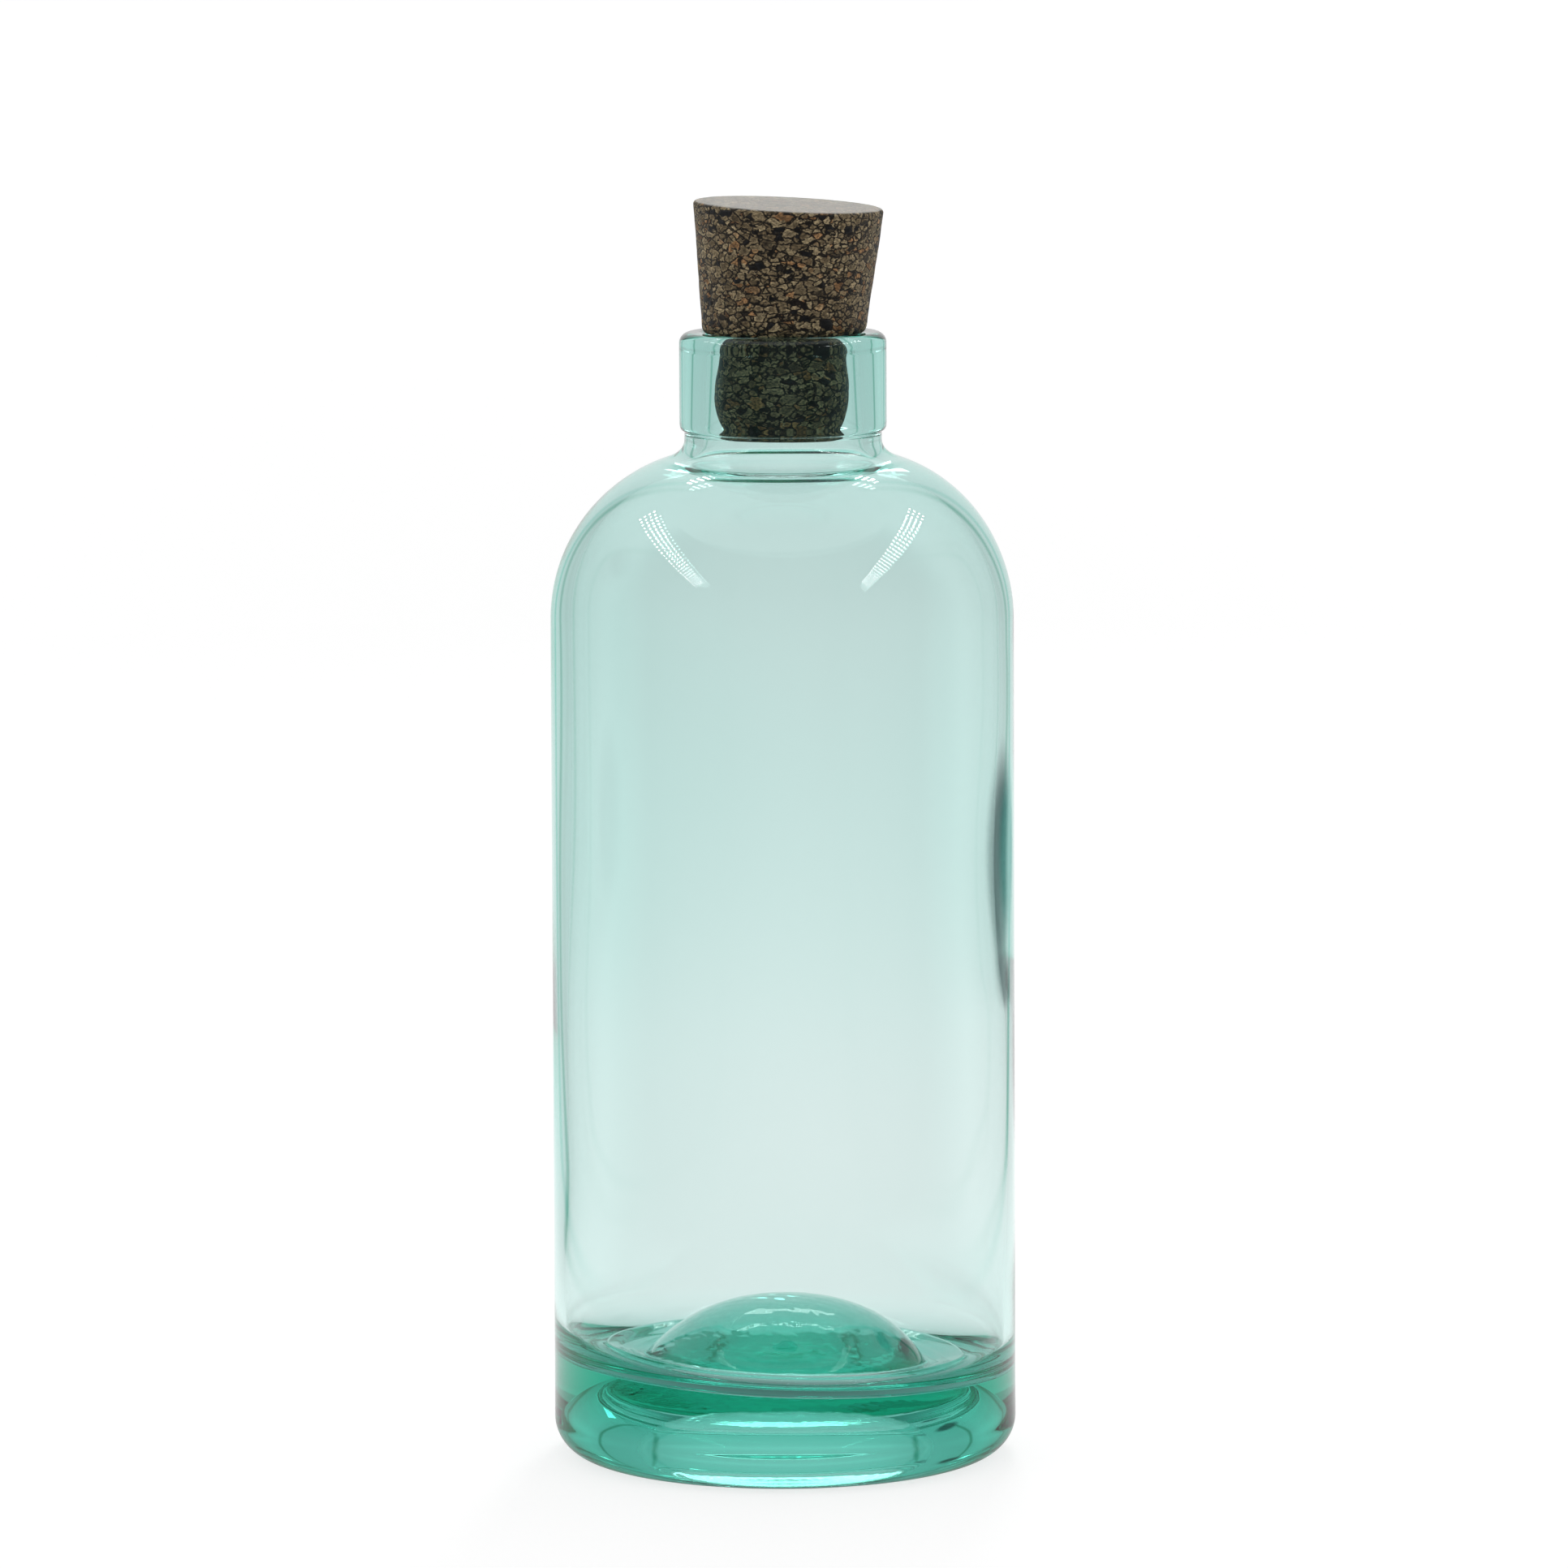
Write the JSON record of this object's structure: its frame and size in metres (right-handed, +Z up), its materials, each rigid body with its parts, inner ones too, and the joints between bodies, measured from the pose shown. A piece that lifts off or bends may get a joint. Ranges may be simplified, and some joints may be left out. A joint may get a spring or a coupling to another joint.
{
  "type": "corked glass bottle",
  "caption": "Round-shouldered, heavy-based bottle of green-tinted clear glass with a straight collar, closed by a tapered granulated-cork stopper that pulls out upwards.",
  "frame": {"origin": "centre of the standing ring, on the surface that the bottle stands on", "axes": "+Z up along the bottle's axis, -Y towards the camera of the picture, +X to its right"},
  "size_m": [0.0954, 0.0954, 0.2593],
  "materials": {
    "tinted_glass": "clear, fire-polished, green-tinted through its thickness",
    "granulated_cork": "matte, pressed brown and black cork granules"
  },
  "bodies": {
    "bottle": {"glass_bottle": "tinted_glass"},
    "stopper": {"cork_stopper": "granulated_cork"}
  },
  "joints": [
    {"name": "stopper_pull", "type": "slide", "parent": "bottle", "child": "stopper", "axis": [0.0407, 0, 0.9992], "range_m": [0, 0.06]}
  ]
}
